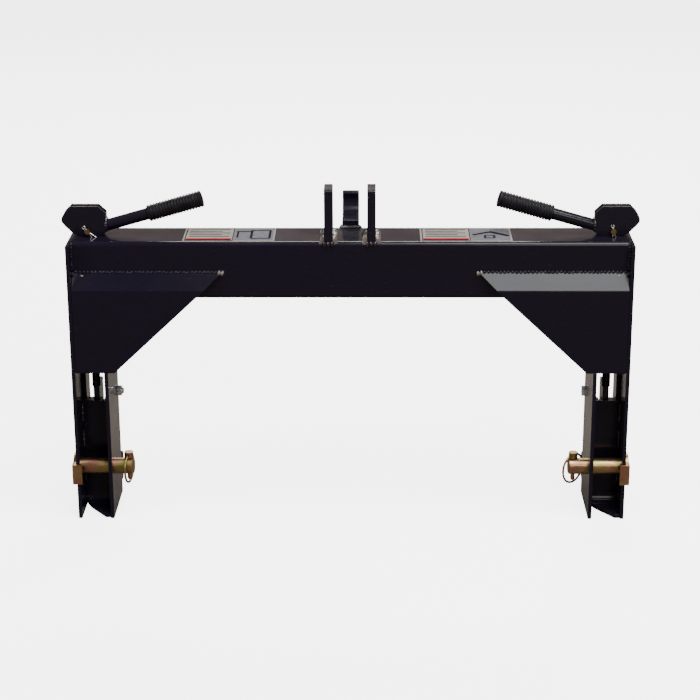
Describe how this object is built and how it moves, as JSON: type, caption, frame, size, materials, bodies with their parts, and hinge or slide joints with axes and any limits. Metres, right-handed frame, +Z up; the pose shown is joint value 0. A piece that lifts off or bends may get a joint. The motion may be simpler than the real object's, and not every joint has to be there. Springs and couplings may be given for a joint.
{
  "type": "three-point quick hitch coupler",
  "caption": "Three-point quick hitch coupler: a square-tube frame with two legs, top and lower hooks, sprung lever latches and captive lower link pins.",
  "frame": {"origin": "on the ground plane under the middle of the frame's box: midway between the legs in X, midway between the pin flags' fronts and the hooks' backs in Y, at the legs' feet in Z", "axes": "+X across the frame, +Y back from the tractor towards the implement, +Z up"},
  "size_m": [0.752, 0.157, 0.45],
  "materials": {
    "black_paint": "gloss",
    "zinc_yellow": "yellow zinc plated",
    "zinc_bright": "bright zinc plated",
    "spring_steel": "oiled",
    "black_rubber": "matte",
    "decal": "gloss"
  },
  "bodies": {
    "frame": {"cross_beam": "black_paint", "outer_side_plate_left": "black_paint", "outer_side_plate_right": "black_paint", "inner_side_plate_left": "black_paint", "inner_side_plate_right": "black_paint", "web_plate_left": "black_paint", "web_plate_right": "black_paint", "gusset_plate_left": "black_paint", "gusset_plate_right": "black_paint", "link_lug_left": "black_paint", "link_lug_right": "black_paint", "top_hook": "black_paint", "lower_hook_outer_left": "black_paint", "lower_hook_outer_right": "black_paint", "lower_hook_inner_left": "black_paint", "lower_hook_inner_right": "black_paint", "spring_seat_left": "black_paint", "spring_seat_right": "black_paint", "rod_guard_left": "black_paint", "rod_guard_right": "black_paint", "tether_bolt_left": "zinc_bright", "tether_bolt_right": "zinc_bright", "tether_nut_left": "zinc_bright", "tether_nut_right": "zinc_bright", "decal_left": "decal", "decal_right": "decal", "latch_spring_left": "spring_steel", "latch_spring_right": "spring_steel"},
    "link_pin_left": {"link_pin_left": "zinc_yellow", "pin_flag_left": "zinc_yellow"},
    "link_pin_right": {"link_pin_right": "zinc_yellow", "pin_flag_right": "zinc_yellow"},
    "lynch_pin_left": {"lynch_pin_left": "zinc_yellow"},
    "lynch_pin_right": {"lynch_pin_right": "zinc_yellow"},
    "lynch_ring_left": {"lynch_ring_left": "zinc_yellow"},
    "lynch_ring_right": {"lynch_ring_right": "zinc_yellow"},
    "latch_left": {"latch_rod_left": "black_paint", "latch_bar_left": "black_paint", "rod_collar_left": "zinc_bright", "rod_nut_left": "zinc_bright", "lever_pin_left": "zinc_yellow", "cotter_pin_left": "zinc_bright"},
    "latch_right": {"latch_rod_right": "black_paint", "latch_bar_right": "black_paint", "rod_collar_right": "zinc_bright", "rod_nut_right": "zinc_bright", "lever_pin_right": "zinc_yellow", "cotter_pin_right": "zinc_bright"},
    "lever_left": {"lever_cheek_front_left": "black_paint", "lever_cheek_rear_left": "black_paint", "lever_rod_left": "black_paint", "lever_grip_left": "black_rubber"},
    "lever_right": {"lever_cheek_front_right": "black_paint", "lever_cheek_rear_right": "black_paint", "lever_rod_right": "black_paint", "lever_grip_right": "black_rubber"}
  },
  "joints": [
    {"name": "latch_slide_left", "type": "slide", "parent": "frame", "child": "latch_left", "axis": [0, 0, 1], "range_m": [0, 0.031], "stiffness_N_per_m": 2000, "springref_m": -0.02, "deforming": ["latch_spring_left"]},
    {"name": "latch_slide_right", "type": "slide", "parent": "frame", "child": "latch_right", "axis": [0, 0, 1], "range_m": [0, 0.031], "stiffness_N_per_m": 2000, "springref_m": -0.02, "deforming": ["latch_spring_right"]},
    {"name": "lever_turn_left", "type": "hinge", "parent": "latch_left", "child": "lever_left", "pos_m": [-0.3415, -0.018, 0.3878], "axis": [0, -1, 0], "range_deg": [0, 100]},
    {"name": "lever_turn_right", "type": "hinge", "parent": "latch_right", "child": "lever_right", "pos_m": [0.3415, -0.018, 0.3878], "axis": [0, 1, 0], "range_deg": [0, 100]},
    {"name": "link_pin_slide_left", "type": "slide", "parent": "frame", "child": "link_pin_left", "axis": [-1, 0, 0], "range_m": [0, 0.012]},
    {"name": "link_pin_slide_right", "type": "slide", "parent": "frame", "child": "link_pin_right", "axis": [1, 0, 0], "range_m": [0, 0.003]},
    {"name": "lynch_lift_left", "type": "slide", "parent": "link_pin_left", "child": "lynch_pin_left", "axis": [0, 0, 1], "range_m": [0, 0.003]},
    {"name": "lynch_lift_right", "type": "slide", "parent": "link_pin_right", "child": "lynch_pin_right", "axis": [0, 0, 1], "range_m": [0, 0.003]},
    {"name": "lynch_ring_turn_left", "type": "hinge", "parent": "lynch_pin_left", "child": "lynch_ring_left", "pos_m": [-0.2975, -0.052, 0.0842], "axis": [-0.1736, -0.9848, 0], "range_deg": [0, 100]},
    {"name": "lynch_ring_turn_right", "type": "hinge", "parent": "lynch_pin_right", "child": "lynch_ring_right", "pos_m": [0.2975, -0.052, 0.0842], "axis": [0.7071, 0.7071, 0], "range_deg": [0, 100]}
  ],
  "couplings": [
    {"joint": "latch_slide_left", "follows": "lever_turn_left", "m_per_rad": 0.0175},
    {"joint": "latch_slide_right", "follows": "lever_turn_right", "m_per_rad": 0.0175}
  ]
}
